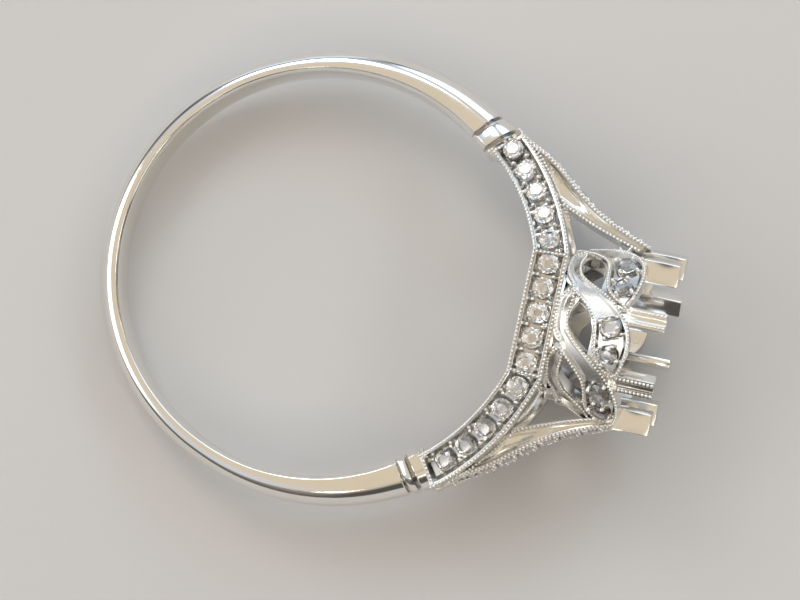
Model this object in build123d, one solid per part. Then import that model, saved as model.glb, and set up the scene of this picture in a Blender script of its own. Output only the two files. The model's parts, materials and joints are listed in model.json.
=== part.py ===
from build123d import *
from math import atan2, cos, degrees, radians, sin
import os

# A ring setting without its centre stone, lying on its side. Lengths are millimetres, angles degrees.
# It is drawn flat first: the finger axis is Z, the head's axis is X, and the front side is +Z.
# At the end it is tilted about Y until it rests on the floor plane.

# Hoop
finger_radius = 8.35
hoop_back_thickness = 0.85
hoop_shoulder_thickness = 1.45
hoop_back_half_width = 1.0
hoop_shoulder_half_width = 1.1
hoop_taper_angle = 112.0
hoop_taper_power = 1.2
hoop_flat_side_shares = (0.45, 0.72)
hoop_sections = 17
bore_half_length = 0.85
bore_bevel_slope = 0.7
bore_allowance = 0.3

# Collars between the hoop and the shoulders
hoop_end_angle = 54.3
collar_angles = (50.6, 53.7)
bar_angles = (47.4, 49.6)
groove_depth = 0.14
bar_inset = 0.03
neck_end_angle = 55.8

# Side strips from the collars down to the head
strip_start_angle = 47.8
strip_end_angle = 16.0
strip_end_skew = 1.7
strip_inner_radii = (8.62, 9.04)
strip_outer_radii = (10.08, 10.46)
strip_face_heights = (1.16, 2.95)
strip_thickness = 0.75
strip_sections = 6

# Shoulder core and arm, both extruded across the ring
core_half_width = 0.92
rail_half_width = 1.08
rail_width = 0.17
core_start_angle = 48.0
core_bore_angle = 42.5
core_inner_angle = 31.0
arm_root = (9.45, 4.72)
arm_underside_middle = (10.75, 4.03)
arm_underside_end = (12.3, 3.48)
arm_tip = (13.05, 3.68)
arm_top_middle = (10.6, 4.78)
shoulder_crest = (8.1, 6.58)
shoulder_rise = 0.05
rail_points = 9

# Collet: a flaring pierced wall round the head's axis
collet_base_x = 10.05
collet_base_radius = strip_face_heights[1] - 0.05
collet_height = 3.28
collet_flare = 0.27
collet_wall = 0.5
collet_ring_drop = 0.4
valley_share = 0.73
leaf_count = 8
leaf_relief = 0.12
leaf_thickness = 0.52
leaf_reach = 1.05
cutter_start = 1.0
cutter_length = 4.0
head_turn = 13.5

# Prongs
prong_tip_x = 14.55
prong_foot_x = 12.3
prong_root_x = 11.7
prong_overlap = 0.1
side_prong_inner_radius = 3.0
side_prong_depth = 0.62
side_prong_width = 0.76
side_prong_channel = 0.26
side_prong_channel_depth = 0.1
corner_prong_radius = 3.3
corner_prong_depth = 0.95
corner_prong_width = 0.92

# Stones
stone_facets = 8
stone_crown_share = 0.3
stone_girdle_share = 0.06
stone_pavilion_share = 0.72
stone_table_share = 0.58
stone_culet_share = 0.06
row_stone_radius = 0.43
row_stones_on_shoulder = 5
row_first_stone = 0.72
row_end_spare = 0.22
row_stones_on_base = 5
arm_stone_radius = 0.36
arm_stones_in_row = 7
arm_row_offset = 0.43
arm_first_stone = 0.75
arm_row_stagger = 0.5
arm_end_spare = 1.1
leaf_stone_radii = (0.48, 0.42)
seat_clearance = 0.03
girdle_sink = 0.03

# The pierced hole and the leaf of one unit of the collet. The turn is a share of one unit's angle,
# counted from the prong before it, and the height is a share of the collet's height.
hole_outline = {
    "start": (-0.19, 0.28),
    "lower_middle": (0.24, 0.2),
    "end": (0.69, 0.5),
    "upper_middle": (0.24, 0.5),
}
leaf_outline = (
    {"turn": -0.37, "height": 0.15},
    {"turn": -0.29, "height": 0.35},
    {"turn": -0.18, "height": 0.56},
    {"turn": -0.03, "height": 0.75},
    {"turn": 0.15, "height": 0.93},
    {"turn": 0.40, "height": 1.0},
    {"turn": 0.63, "height": 0.98},
    {"turn": 0.90, "height": 0.87},
    {"turn": 0.80, "height": 0.68},
    {"turn": 0.64, "height": 0.56},
    {"turn": 0.38, "height": 0.54},
    {"turn": 0.13, "height": 0.48},
    {"turn": -0.09, "height": 0.38},
    {"turn": -0.22, "height": 0.25},
    {"turn": -0.28, "height": 0.14},
)
base_gap_outline = {
    "left": (-0.62, 0.015),
    "right": (-0.14, 0.015),
    "top": (-0.38, 0.115),
}
leaf_middle_share = 0.41
leaf_stone_places = (
    {"turn": 0.22, "height": 0.74},
    {"turn": 0.60, "height": 0.755},
)

leaf_pitch = 360.0 / leaf_count
first_prong_turn = head_turn - leaf_pitch / 2


def on_circle(radius, angle, height=0.0):
    return Vector(radius * cos(radians(angle)), radius * sin(radians(angle)), height)


def mix(pair, share):
    return pair[0] + (pair[1] - pair[0]) * share


def flat(point):
    """A point's place on the ring's middle plane."""
    return Vector(point.X, point.Y, 0)


def mirrored(shape):
    """The shape and its copy on the other shoulder."""
    return [shape, shape.mirror(Plane.XZ)]


# Hoop


def hoop_growth(angle):
    """Share of the way from the back's section to the shoulder's section."""
    away = min(abs(angle), 360.0 - abs(angle))
    share = (hoop_taper_angle - away) / (hoop_taper_angle - hoop_end_angle)
    return min(1.0, max(0.0, share)) ** hoop_taper_power


def hoop_section(angle, inset=0.0):
    """Section of the hoop on the radial plane at an angle: flat sides under a domed outside."""
    growth = hoop_growth(angle)
    thickness = mix((hoop_back_thickness, hoop_shoulder_thickness), growth) - inset
    half = mix((hoop_back_half_width, hoop_shoulder_half_width), growth) - inset
    flat_side = thickness * mix(hoop_flat_side_shares, growth)
    inner = finger_radius - bore_allowance
    side = finger_radius + flat_side
    edges = [
        Line(on_circle(inner, angle, -half), on_circle(inner, angle, half)),
        Line(on_circle(inner, angle, half), on_circle(side, angle, half)),
        ThreePointArc(on_circle(side, angle, half), on_circle(finger_radius + thickness, angle),
                      on_circle(side, angle, -half)),
        Line(on_circle(side, angle, -half), on_circle(inner, angle, -half)),
    ]
    return Face(Wire(edges))


def hoop_piece(angles, inset=0.0):
    return loft([hoop_section(angle, inset) for angle in angles])


def make_hoop():
    step = (360.0 - 2 * hoop_end_angle) / (hoop_sections - 1)
    hoop = hoop_piece([hoop_end_angle + step * i for i in range(hoop_sections)])
    collar = hoop_piece(collar_angles)
    bar = hoop_piece(bar_angles, bar_inset)
    neck = hoop_piece((bar_angles[0], neck_end_angle), groove_depth)
    return [hoop, *mirrored(collar), *mirrored(bar), *mirrored(neck)]


# Side strips


def strip_place(share):
    """Inner and outer edge points of a strip's face, from the collar (0) to the head (1)."""
    angle = mix((strip_start_angle, strip_end_angle), share)
    height = mix(strip_face_heights, share)
    inner = on_circle(mix(strip_inner_radii, share), angle, height)
    outer = on_circle(mix(strip_outer_radii, share), angle - strip_end_skew * share, height)
    return inner, outer


def strip_section(share):
    inner, outer = strip_place(share)
    down = Vector(0, 0, strip_thickness)
    return Face(Wire.make_polygon([inner, outer, outer - down, inner - down]))


def make_strips():
    shoulder = loft([strip_section(i / (strip_sections - 1)) for i in range(strip_sections)])
    inner, outer = strip_place(1.0)
    outline = Polyline((inner.X, inner.Y), (outer.X, outer.Y), (outer.X, -outer.Y), (inner.X, -inner.Y),
                       close=True)
    base = Pos(0, 0, inner.Z - strip_thickness) * extrude(make_face(outline), strip_thickness)
    front = [*mirrored(shoulder), base]
    return front + [piece.mirror(Plane.XY) for piece in front]


# Shoulder cores and arms


def arm_top_curve():
    """The outward edge of core and arm, from the collar to the arm's tip."""
    start = on_circle(finger_radius + hoop_shoulder_thickness + shoulder_rise, core_start_angle)
    crest = Vector(*shoulder_crest)
    tip = Vector(*arm_tip)
    return Spline(start, crest, Vector(*arm_top_middle), tip,
                  tangents=[start.rotate(Axis.Z, -90), Vector(0.93, -0.37)])


def arm_under_curve():
    return ThreePointArc(arm_root, arm_underside_middle, arm_underside_end)


def shoulder_outline():
    top = arm_top_curve()
    under = arm_under_curve()
    start = top @ 0
    bore_start = on_circle(finger_radius - bore_allowance, core_start_angle)
    bore_end = on_circle(finger_radius - bore_allowance, core_bore_angle)
    middle = on_circle(finger_radius - bore_allowance, (core_start_angle + core_bore_angle) / 2)
    strip_span = strip_start_angle - strip_end_angle
    inner_end = flat(strip_place((strip_start_angle - core_inner_angle) / strip_span)[0])
    edges = [
        Line(start, bore_start),
        ThreePointArc(bore_start, middle, bore_end),
        Line(bore_end, on_circle(finger_radius, core_bore_angle)),
        Line(on_circle(finger_radius, core_bore_angle), inner_end),
        Line(inner_end, under @ 0),
        under,
        Line(under @ 1, top @ 1),
        top,
    ]
    return make_face(Wire(edges))


def rail_outline(curve, side):
    """A narrow band along a curve, on one side of it."""
    inner = []
    for i in range(rail_points):
        share = i / (rail_points - 1)
        across = (curve % share).rotate(Axis.Z, 90 * side)
        inner.append(curve @ share + across * rail_width)
    edges = [curve, Line(curve @ 1, inner[-1]), Spline(*reversed(inner)), Line(inner[0], curve @ 0)]
    return make_face(Wire(edges))


def across_ring(face, half_width):
    return Pos(0, 0, -half_width) * extrude(face, 2 * half_width)


def make_shoulders():
    core = across_ring(shoulder_outline(), core_half_width)
    top_rail = across_ring(rail_outline(arm_top_curve(), -1), rail_half_width)
    under_rail = across_ring(rail_outline(arm_under_curve(), 1), rail_half_width)
    pieces = []
    for piece in (core, top_rail, under_rail):
        pieces += mirrored(piece)
    return pieces


def make_bore():
    """The finger hole with bevelled mouths, taken out of the hoop and the shoulder cores."""
    mouth_height = hoop_shoulder_half_width + bore_allowance
    mouth_radius = finger_radius + (mouth_height - bore_half_length) * bore_bevel_slope
    profile = Polyline((0, 0), (finger_radius, 0), (finger_radius, bore_half_length),
                       (mouth_radius, mouth_height), (0, mouth_height), close=True)
    half = revolve(Plane.XZ * make_face(profile), Axis.Z)
    return [half, half.mirror(Plane.XY)]


# Collet and prongs


def wall_radius(x, extra=0.0):
    return collet_base_radius + collet_flare * (x - collet_base_x) + extra


def collet_shell(start_x, end_x, outside, inside):
    """A ring of conical wall round the head's axis."""
    profile = Polyline((start_x, wall_radius(start_x, -inside)), (end_x, wall_radius(end_x, -inside)),
                       (end_x, wall_radius(end_x, outside)), (start_x, wall_radius(start_x, outside)),
                       close=True)
    return revolve(make_face(profile), Axis.X)


def make_head_space():
    """The room inside the collet, which the arms' ends stay out of."""
    start_x = collet_base_x - collet_ring_drop
    margin = collet_wall / 2
    profile = Polyline((start_x, 0), (prong_tip_x, 0), (prong_tip_x, wall_radius(prong_tip_x, -margin)),
                       (start_x, wall_radius(start_x, -margin)), close=True)
    return revolve(make_face(profile), Axis.X)


def unit_point(turn_share, height_share, middle_turn):
    """A point of a unit's outline on the plane that looks straight at the unit's middle."""
    x = collet_base_x + collet_height * height_share
    turn = leaf_pitch * turn_share - middle_turn
    return Vector(x, -wall_radius(x) * sin(radians(turn)))


def turned(shape, turn):
    return Rot(turn, 0, 0) * shape


def make_leaf():
    """The raised leaf and its stem, cut from a slightly larger conical shell."""
    middle = 0.25 * leaf_pitch
    points = [unit_point(row["turn"], row["height"], middle) for row in leaf_outline]
    outline = make_face(Wire([Spline(*points, points[0])]))
    block = Pos(0, 0, cutter_start) * extrude(outline, cutter_length)
    end_x = collet_base_x + collet_height * leaf_reach
    shell = collet_shell(collet_base_x, end_x, leaf_relief, leaf_thickness - leaf_relief)
    return turned(block & shell, middle)


def make_piercing():
    """The almond hole of one unit and the small gap at the collet's foot."""
    middle = 0.25 * leaf_pitch
    start, lower, end, upper = [unit_point(*hole_outline[key], middle)
                                for key in ("start", "lower_middle", "end", "upper_middle")]
    outline = make_face(Wire([ThreePointArc(start, lower, end), ThreePointArc(end, upper, start)]))
    almond = turned(Pos(0, 0, cutter_start) * extrude(outline, cutter_length), middle)
    gap_middle = leaf_pitch * base_gap_outline["top"][0]
    corners = [unit_point(*base_gap_outline[key], gap_middle) for key in ("left", "right", "top")]
    triangle = make_face(Polyline(*corners, close=True))
    gap = Pos(0, 0, cutter_start) * extrude(triangle, cutter_length)
    return [almond, turned(gap, gap_middle)]


def prong_is_corner(turn):
    """The four prongs nearest to the arms are the large ones."""
    return abs(sin(radians(turn - head_turn))) > sin(radians(45.0))


def make_prong(turn):
    length = prong_tip_x - prong_foot_x
    middle_x = prong_foot_x + length / 2
    if prong_is_corner(turn):
        upright = Rot(head_turn - turn, 0, 0) * Box(length, corner_prong_width, corner_prong_depth)
        prong = Pos(middle_x, 0, corner_prong_radius) * upright
    else:
        outer = side_prong_inner_radius + side_prong_depth
        prong = Pos(middle_x, 0, outer - side_prong_depth / 2) * Box(length, side_prong_width,
                                                                     side_prong_depth)
        channel = Box(length, side_prong_channel, side_prong_channel_depth)
        prong -= Pos(middle_x, 0, outer - side_prong_channel_depth / 2) * channel
    root_length = prong_foot_x - prong_root_x + prong_overlap
    root_radius = wall_radius(prong_root_x) - collet_wall / 2
    root = Box(root_length, side_prong_width, collet_wall)
    prong += Pos(prong_root_x + root_length / 2, 0, root_radius) * root
    return turned(prong, turn)


def make_collet():
    turns = [first_prong_turn + leaf_pitch * i for i in range(leaf_count)]
    valley_x = collet_base_x + collet_height * valley_share
    wall = collet_shell(collet_base_x - collet_ring_drop, valley_x, 0.0, collet_wall)
    leaf = make_leaf()
    collet = wall.fuse(*[turned(leaf, turn) for turn in turns])
    piercing = make_piercing()
    collet = collet.cut(*[turned(tool, turn) for turn in turns for tool in piercing])
    return [collet] + [make_prong(turn) for turn in turns]


# Stones and their seats


def stone(radius):
    """A round cut stone: table, crown facets, girdle and pavilion facets."""
    crown = stone_crown_share * radius
    girdle = stone_girdle_share * radius
    pavilion = stone_pavilion_share * radius
    table = Pos(0, 0, girdle + crown) * RegularPolygon(stone_table_share * radius, stone_facets)
    upper = Pos(0, 0, girdle) * RegularPolygon(radius, stone_facets)
    lower = RegularPolygon(radius, stone_facets)
    culet = Pos(0, 0, -pavilion) * RegularPolygon(stone_culet_share * radius, stone_facets)
    crown_part = loft([upper.face(), table.face()], ruled=True)
    girdle_part = extrude(lower, girdle)
    pavilion_part = loft([culet.face(), lower.face()], ruled=True)
    return crown_part + girdle_part + pavilion_part


def seat(radius):
    """The space a stone needs: its outline with a clearance all round."""
    wide = radius + seat_clearance
    deep = stone_pavilion_share * radius + 2 * seat_clearance
    narrow = stone_culet_share * radius + seat_clearance
    profile = Polyline((0, -deep), (narrow, -deep), (wide, -seat_clearance), (wide, radius), (0, radius),
                       close=True)
    return revolve(Plane.XZ * make_face(profile), Axis.Z)


def stone_plane(point, outward, along):
    """A plane at a stone's girdle, whose Z points out of the metal."""
    return Plane(origin=point - outward * girdle_sink, x_dir=along, z_dir=outward)


def row_planes():
    """Places of the stones along the front side, from one collar to the other."""
    places = []
    for i in range(row_stones_on_shoulder):
        share = (i + row_first_stone) / (row_stones_on_shoulder + row_end_spare)
        inner, outer = strip_place(share)
        before = strip_place(share - 0.05)
        after = strip_place(share + 0.05)
        along = (after[0] + after[1] - before[0] - before[1]).normalized()
        outward = (outer - inner).cross(along).normalized() * -1
        point = (inner + outer) * 0.5
        places.append(stone_plane(point, outward, along))
    shoulders = places + [mirror_plane(place) for place in places]
    inner, outer = strip_place(1.0)
    middle = (inner + outer) * 0.5
    length = inner.Y + outer.Y
    base = []
    for i in range(row_stones_on_base):
        y = length * ((i + 0.5) / row_stones_on_base - 0.5)
        base.append(stone_plane(Vector(middle.X, y, inner.Z), Vector(0, 0, 1), Vector(0, 1, 0)))
    return shoulders + base


def mirror_plane(place):
    """The same place on the other shoulder."""
    origin = Vector(place.origin.X, -place.origin.Y, place.origin.Z)
    outward = Vector(place.z_dir.X, -place.z_dir.Y, place.z_dir.Z)
    along = Vector(place.x_dir.X, -place.x_dir.Y, place.x_dir.Z)
    return Plane(origin=origin, x_dir=along, z_dir=outward)


def turned_over(place):
    """The same place on the back side of the ring."""
    origin = Vector(place.origin.X, place.origin.Y, -place.origin.Z)
    outward = Vector(place.z_dir.X, place.z_dir.Y, -place.z_dir.Z)
    along = Vector(place.x_dir.X, place.x_dir.Y, -place.x_dir.Z)
    return Plane(origin=origin, x_dir=along, z_dir=outward)


def arm_planes():
    """Places of the stones in the upper arm's outward face, in two staggered rows."""
    curve = arm_top_curve()
    places = []
    for row, side in enumerate((-1, 1)):
        for i in range(arm_stones_in_row):
            share = (i + arm_first_stone + arm_row_stagger * row) / (arm_stones_in_row + arm_end_spare)
            along = curve % share
            outward = along.rotate(Axis.Z, 90)
            point = curve @ share + Vector(0, 0, side * arm_row_offset)
            places.append(stone_plane(point, outward, along))
    return places


def leaf_is_under_arm(turn):
    """An arm's end covers two of the leaves."""
    return abs(cos(radians(turn))) < sin(radians(leaf_pitch / 2))


def leaf_planes():
    places = []
    for i in range(leaf_count):
        if leaf_is_under_arm(first_prong_turn + leaf_pitch * (i + leaf_middle_share)):
            continue
        for row in leaf_stone_places:
            turn = first_prong_turn + leaf_pitch * (i + row["turn"])
            x = collet_base_x + collet_height * row["height"]
            slope = degrees(atan2(collet_flare, 1.0))
            outward = Vector(0, 0, 1).rotate(Axis.Y, -slope).rotate(Axis.X, turn)
            along = Vector(1, 0, 0).rotate(Axis.Y, -slope).rotate(Axis.X, turn)
            point = Vector(x, 0, wall_radius(x, leaf_relief)).rotate(Axis.X, turn)
            places.append(stone_plane(point, outward, along))
    return places


def set_stones(planes, radii):
    return [plane.location * stone(radius) for plane, radius in zip(planes, radii)]


def cut_seats(planes, radii):
    return [plane.location * seat(radius) for plane, radius in zip(planes, radii)]


# Assembly

front_row = row_planes()
back_row = [turned_over(place) for place in front_row]
upper_arm = arm_planes()
lower_arm = [mirror_plane(place) for place in upper_arm]
leaves = leaf_planes()
fields = {
    "front_row_stones": (front_row, [row_stone_radius] * len(front_row)),
    "back_row_stones": (back_row, [row_stone_radius] * len(back_row)),
    "upper_arm_stones": (upper_arm, [arm_stone_radius] * len(upper_arm)),
    "lower_arm_stones": (lower_arm, [arm_stone_radius] * len(lower_arm)),
    "collet_stones": (leaves, list(leaf_stone_radii) * (len(leaves) // 2)),
}

outer_pieces = make_hoop() + make_shoulders()
shank = outer_pieces[0].fuse(*outer_pieces[1:])
shank = shank.cut(*make_bore())
shank = shank.fuse(*make_strips())
shank = shank.cut(make_head_space())
collet_pieces = make_collet()
mounting = shank.fuse(*collet_pieces)
seats = [tool for planes, radii in fields.values() for tool in cut_seats(planes, radii)]
mounting = mounting.cut(*seats)

# Resting pose: the ring leans on the back of the hoop and on the collet's leaves
leaf_edge_x = collet_base_x + collet_height * 0.95
leaf_edge_radius = wall_radius(leaf_edge_x, leaf_relief)
rise = leaf_edge_radius - hoop_back_half_width
run = leaf_edge_x + finger_radius + hoop_back_thickness * 0.6
rest_tilt = degrees(atan2(rise, run))
leaning = Rot(0, -rest_tilt, 0) * mounting
box = leaning.bounding_box()
rest = Pos(-(box.min.X + box.max.X) / 2, -(box.min.Y + box.max.Y) / 2, -box.min.Z) * Rot(0, -rest_tilt, 0)

os.makedirs("parts", exist_ok=True)
export_step(rest * mounting, "parts/mounting.step")
for name, (planes, radii) in fields.items():
    export_step(rest * Compound(children=set_stones(planes, radii)), f"parts/{name}.step")

print("rest tilt", round(rest_tilt, 3))
print("finger hole centre", rest.position)
print("size", box.size)
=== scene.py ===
"""A ring setting of white gold and small cut stones, lying on its side without its centre stone.

Lengths are millimetres and the ring is drawn flat: the finger axis is Z, the head's axis is X and the
front side is +Z. The workbench then tips each finished piece into the pose in which the ring rests.
"""

import json
import logging
import math
from dataclasses import dataclass
from enum import Enum
from typing import Callable, Iterable, Sequence

import bmesh
import bpy
from mathutils import Matrix, Vector


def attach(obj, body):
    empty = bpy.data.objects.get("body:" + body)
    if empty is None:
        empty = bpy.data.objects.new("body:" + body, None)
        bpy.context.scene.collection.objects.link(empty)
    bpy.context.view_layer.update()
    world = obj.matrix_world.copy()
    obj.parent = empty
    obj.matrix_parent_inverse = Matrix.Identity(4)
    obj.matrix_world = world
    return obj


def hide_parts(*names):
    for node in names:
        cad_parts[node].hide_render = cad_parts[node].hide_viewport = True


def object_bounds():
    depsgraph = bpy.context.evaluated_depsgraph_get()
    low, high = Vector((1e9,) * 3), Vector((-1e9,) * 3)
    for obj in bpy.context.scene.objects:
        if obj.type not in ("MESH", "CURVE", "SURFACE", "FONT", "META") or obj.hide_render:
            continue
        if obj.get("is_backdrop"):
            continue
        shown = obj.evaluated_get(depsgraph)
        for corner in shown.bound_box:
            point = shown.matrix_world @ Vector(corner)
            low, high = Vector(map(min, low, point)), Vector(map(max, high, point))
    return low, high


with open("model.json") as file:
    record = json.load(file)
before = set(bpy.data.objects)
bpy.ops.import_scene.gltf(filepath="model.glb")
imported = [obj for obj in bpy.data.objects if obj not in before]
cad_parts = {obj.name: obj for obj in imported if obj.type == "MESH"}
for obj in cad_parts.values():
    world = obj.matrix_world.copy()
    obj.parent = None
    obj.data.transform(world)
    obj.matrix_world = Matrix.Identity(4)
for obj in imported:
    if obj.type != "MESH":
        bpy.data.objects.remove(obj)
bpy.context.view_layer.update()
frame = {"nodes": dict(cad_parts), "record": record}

log = logging.getLogger("ring")

MM = 0.001


class Side(Enum):
    """The two sides of the ring along the finger axis."""

    FRONT = 1.0
    BACK = -1.0


class Shoulder(Enum):
    """The two shoulders, above and below the head's axis."""

    UPPER = 1.0
    LOWER = -1.0


class ProngKind(Enum):
    """Small prongs carry a channel and beading, corner prongs are plain blocks."""

    SMALL = "small"
    CORNER = "corner"


# Curves and sections


class Path:
    """A smooth curve through chosen points, read by its share of the spans."""

    rounds = 40

    def __init__(
        self,
        points: Sequence[Sequence[float]],
        start: Sequence[float] | None = None,
        end: Sequence[float] | None = None,
    ) -> None:
        """Fits the curve.

        Args:
            points: the points that it passes through.
            start: its direction at the first point, or None for a free end.
            end: its direction at the last point, or None for a free end.
        """
        self.points = [Vector(point) for point in points]
        self.spans = [(b - a).length for a, b in zip(self.points, self.points[1:])]
        self.slopes = [(b - a) / h for a, b, h in zip(self.points, self.points[1:], self.spans)]
        self.slopes.append(self.slopes[-1].copy())
        chords = self.slopes[:-1]
        last = len(self.points) - 1
        for _ in range(self.rounds):
            for i in range(last + 1):
                if i == 0:
                    free = (chords[0] * 3 - self.slopes[1]) / 2
                    self.slopes[i] = free if start is None else Vector(start).normalized()
                elif i == last:
                    free = (chords[-1] * 3 - self.slopes[-2]) / 2
                    self.slopes[i] = free if end is None else Vector(end).normalized()
                else:
                    before, after = 1 / self.spans[i - 1], 1 / self.spans[i]
                    pull = (chords[i - 1] * before + chords[i] * after) * 3
                    rest = self.slopes[i - 1] * before + self.slopes[i + 1] * after
                    self.slopes[i] = (pull - rest) / (2 * (before + after))

    def at(self, share: float) -> Vector:
        """Reads the curve.

        Args:
            share: the share of the spans, from 0 to 1.

        Returns:
            The point there.
        """
        place = min(max(share, 0.0), 1.0) * len(self.spans)
        index = min(int(place), len(self.spans) - 1)
        t = place - index
        span = self.spans[index]
        a, b = self.points[index], self.points[index + 1]
        lean_a, lean_b = self.slopes[index] * span, self.slopes[index + 1] * span
        return (
            a * (2 * t**3 - 3 * t**2 + 1)
            + lean_a * (t**3 - 2 * t**2 + t)
            + b * (3 * t**2 - 2 * t**3)
            + lean_b * (t**3 - t**2)
        )


def mix(pair: Sequence[float], share: float) -> float:
    """The value a share of the way from the first of a pair to the second."""
    return pair[0] + (pair[1] - pair[0]) * share


def ramp(value: float, start: float, reach: float) -> float:
    """How far a value has passed from a start through a reach, from 0 to 1."""
    return min(1.0, max(0.0, (value - start) / reach))


def shares(count: int) -> list[float]:
    """Evenly spaced shares from 0 to 1."""
    return [i / (count - 1) for i in range(count)]


def on_circle(radius: float, angle: float, height: float = 0.0) -> Vector:
    """A point round the finger axis, with its angle in degrees from the head's axis."""
    turn = math.radians(angle)
    return Vector((radius * math.cos(turn), radius * math.sin(turn), height))


def eased(corners: Sequence[tuple[float, float, float]], steps: int = 2) -> list[Vector]:
    """Rounds the corners of a closed section.

    Args:
        corners: each corner's two coordinates and how far its rounding reaches.
        steps: the number of edges in a rounded corner.

    Returns:
        The section's points in order.
    """
    points = []
    for i, (a, b, ease) in enumerate(corners):
        corner = Vector((a, b))
        if ease <= 0.0:
            points.append(corner)
            continue
        before = (Vector(corners[i - 1][:2]) - corner).normalized() * ease
        after = (Vector(corners[(i + 1) % len(corners)][:2]) - corner).normalized() * ease
        for step in range(steps + 1):
            t = step / steps
            points.append(corner + before * (1 - t) ** 2 + after * t**2)
    return points


def evenly(dense: Sequence[Vector], pitch: float) -> list[Vector]:
    """Picks spots one pitch apart.

    Args:
        dense: a dense row of points.
        pitch: the distance between spots, rounded so that they fill the row.

    Returns:
        The spots, from the first point to the last.
    """
    lengths = [0.0]
    for a, b in zip(dense, dense[1:]):
        lengths.append(lengths[-1] + (b - a).length)
    count = max(1, round(lengths[-1] / pitch))
    spots = []
    index = 0
    for i in range(count + 1):
        goal = lengths[-1] * i / count
        while index < len(dense) - 2 and lengths[index + 1] < goal:
            index += 1
        span = lengths[index + 1] - lengths[index]
        t = 0.0 if span == 0 else (goal - lengths[index]) / span
        spots.append(dense[index].lerp(dense[index + 1], t))
    return spots


def sweep(
    bm: bmesh.types.BMesh,
    stations: Sequence[Sequence[Vector]],
    closed: bool = False,
    recess: Sequence[Sequence[float]] | None = None,
) -> None:
    """Extrudes a closed section through a row of stations.

    Args:
        bm: the mesh that receives the swept solid.
        stations: the section's points at each station, always as many.
        closed: whether the last station meets the first.
        recess: how much painted shade darkens each point of each station and changes its roughness, or None
            for a bright solid.
    """
    count = len(stations[0])
    layer = bm.verts.layers.float.get("recess") or bm.verts.layers.float.new("recess")
    ring = bmesh.ops.create_circle(bm, cap_ends=False, segments=count, radius=1.0)["verts"]
    ring = sorted(ring, key=lambda vert: math.atan2(vert.co.y, vert.co.x))
    first = ring
    for i, (vert, place) in enumerate(zip(ring, stations[0])):
        vert.co = place
        vert[layer] = recess[0][i] if recess else 0.0
    for row, station in enumerate(stations[1:], start=1):
        edges = [bm.edges.get((ring[i - 1], ring[i])) for i in range(count)]
        made = bmesh.ops.extrude_edge_only(bm, edges=edges)["geom"]
        fresh = {item for item in made if isinstance(item, bmesh.types.BMVert)}
        following = []
        for vert in ring:
            ends = (edge.other_vert(vert) for edge in vert.link_edges)
            following.append(next(end for end in ends if end in fresh))
        for i, (vert, place) in enumerate(zip(following, station)):
            vert.co = place
            vert[layer] = recess[row][i] if recess else 0.0
        ring = following
    if closed:
        bmesh.ops.weld_verts(bm, targetmap=dict(zip(ring, first)))
    else:
        bmesh.ops.contextual_create(bm, geom=first)
        bmesh.ops.contextual_create(bm, geom=ring)


def mirrored(points: Iterable[Vector], side: Side, shoulder: Shoulder) -> list[Vector]:
    """The points carried over to one side and one shoulder of the ring."""
    return [Vector((p.x, p.y * shoulder.value, p.z * side.value)) for p in points]


# Workbench


class Workbench:
    """Turns shaped meshes into finished pieces of the resting ring."""

    def __init__(self, record: dict) -> None:
        """Reads the resting pose from the record's finger hole.

        Args:
            record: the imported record.
        """
        hole = next(mount for mount in record["mounts"] if mount["name"] == "finger_hole")
        lean = math.atan2(-hole["axis"][0], hole["axis"][2])
        self.place = (
            Matrix.Translation(Vector(hole["pos_m"]))
            @ Matrix.Rotation(-lean, 4, "Y")
            @ Matrix.Scale(MM, 4)
        )

    def finish(
        self,
        bm: bmesh.types.BMesh,
        name: str,
        material: bpy.types.Material,
        slot: str,
        crease: float = 32.0,
        merge: bool = True,
    ) -> bpy.types.Object:
        """Sets a shaped mesh in place as a finished piece.

        Args:
            bm: the mesh in the flat ring's millimetres. It is freed.
            name: the piece's name.
            material: its finish.
            slot: the record's slot of that finish. It is not used.
            crease: the angle in degrees from which an edge stays sharp.
            merge: whether doubles are merged and faces turned outwards.

        Returns:
            The piece's object.
        """
        if merge:
            bmesh.ops.remove_doubles(bm, verts=bm.verts, dist=1e-4)
            bmesh.ops.recalc_face_normals(bm, faces=bm.faces)
        bmesh.ops.transform(bm, matrix=self.place, verts=bm.verts)
        mesh = bpy.data.meshes.new(name)
        bm.to_mesh(mesh)
        bm.free()
        mesh.polygons.foreach_set("use_smooth", [crease > 0.0] * len(mesh.polygons))
        if crease > 0.0:
            mesh.set_sharp_from_angle(angle=math.radians(crease))
        mesh.materials.append(material)
        piece = bpy.data.objects.new(name, mesh)
        bpy.context.scene.collection.objects.link(piece)
        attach(piece, "root")
        log.info("%s: %d faces", name, len(mesh.polygons))
        return piece

    def flat(self, point: Vector) -> Vector:
        """A resting point taken back to the flat ring's millimetres."""
        return self.place.inverted() @ point


# Finishes


class Link:
    """A shader socket that is added, multiplied and raised to a power like a number."""

    def __init__(self, board: "Board", socket: bpy.types.NodeSocket) -> None:
        """Wraps a socket of a board's node tree."""
        self.board = board
        self.socket = socket

    def _with(self, operation: str, first: "Link | float", second: "Link | float") -> "Link":
        """Adds a Math node for one operation."""
        return self.board.add("ShaderNodeMath", {"operation": operation}, {0: first, 1: second})

    def __add__(self, other: "Link | float") -> "Link":
        """Sum."""
        return self._with("ADD", self, other)

    __radd__ = __add__

    def __mul__(self, other: "Link | float") -> "Link":
        """Product."""
        return self._with("MULTIPLY", self, other)

    __rmul__ = __mul__

    def __pow__(self, other: "Link | float") -> "Link":
        """Power."""
        return self._with("POWER", self, other)


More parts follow.
